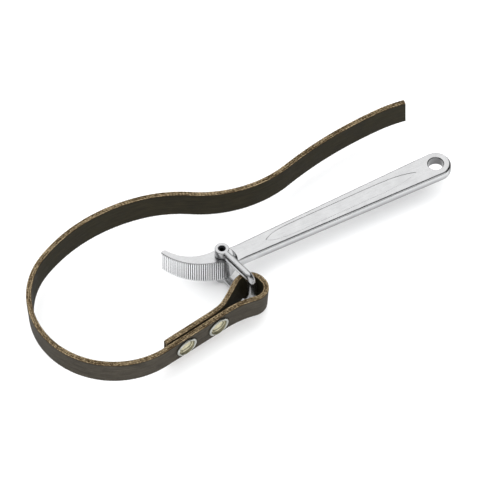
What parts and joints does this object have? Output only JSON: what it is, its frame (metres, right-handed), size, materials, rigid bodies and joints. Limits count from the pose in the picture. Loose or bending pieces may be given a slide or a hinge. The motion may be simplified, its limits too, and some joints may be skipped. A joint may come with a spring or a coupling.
{
  "type": "strap oil filter wrench",
  "caption": "Chrome strap wrench for oil filters: flat forged handle with a curved serrated hook jaw, a round-bar shackle on a pin, and a long belt folded and riveted round its crossbar.",
  "frame": {"origin": "centre of the hanging hole, half way through the handle's thickness", "axes": "+Z along the pivot pin and the hanging hole, across the strap's width; +X along the handle from the jaw to the hanging hole's end; -Y towards the serrated side of the jaw and the shackle"},
  "size_m": [0.3449, 0.1389, 0.0342],
  "materials": {
    "forged_chrome": "polished plate over a forging",
    "bar_chrome": "polished plate on round bar",
    "spring_steel": "black oxide",
    "belt": "matt rubberised canvas with bare fibre edges",
    "rivet_metal": "dull plated, slightly yellow",
    "washer_metal": "dull plated"
  },
  "bodies": {
    "handle": {"handle": "forged_chrome"},
    "shackle": {"shackle": "bar_chrome", "pivot_pin": "spring_steel"},
    "strap_end": {"strap_fold": "belt", "front_rivet": "rivet_metal", "rear_rivet": "rivet_metal", "front_rivet_washer": "washer_metal", "rear_rivet_washer": "washer_metal"},
    "strap_near": {"strap_near": "belt"},
    "strap_far": {"strap_far": "belt"},
    "strap_tail": {"strap_tail": "belt"}
  },
  "joints": [
    {"name": "shackle_pivot", "type": "hinge", "parent": "handle", "child": "shackle", "pos_m": [-0.182, 0, 0], "axis": [0, 0, 1], "range_deg": [-5, 42]},
    {"name": "strap_pivot", "type": "hinge", "parent": "shackle", "child": "strap_end", "pos_m": [-0.17647, -0.03415, 0], "axis": [0, 0, 1], "range_deg": [-4, 45]},
    {"name": "strap_flex_near", "type": "hinge", "parent": "strap_end", "child": "strap_near", "pos_m": [-0.27766, -0.05642, 0], "axis": [0, 0, 1], "range_deg": [0, 18], "stiffness_Nm_per_rad": 0.06},
    {"name": "strap_flex_far", "type": "hinge", "parent": "strap_near", "child": "strap_far", "pos_m": [-0.29655, 0.06297, 0], "axis": [0, 0, 1], "range_deg": [0, 18], "stiffness_Nm_per_rad": 0.06},
    {"name": "strap_flex_tail", "type": "hinge", "parent": "strap_far", "child": "strap_tail", "pos_m": [-0.17336, 0.06044, 0], "axis": [0, 0, 1], "range_deg": [-4, 25], "stiffness_Nm_per_rad": 0.06}
  ]
}
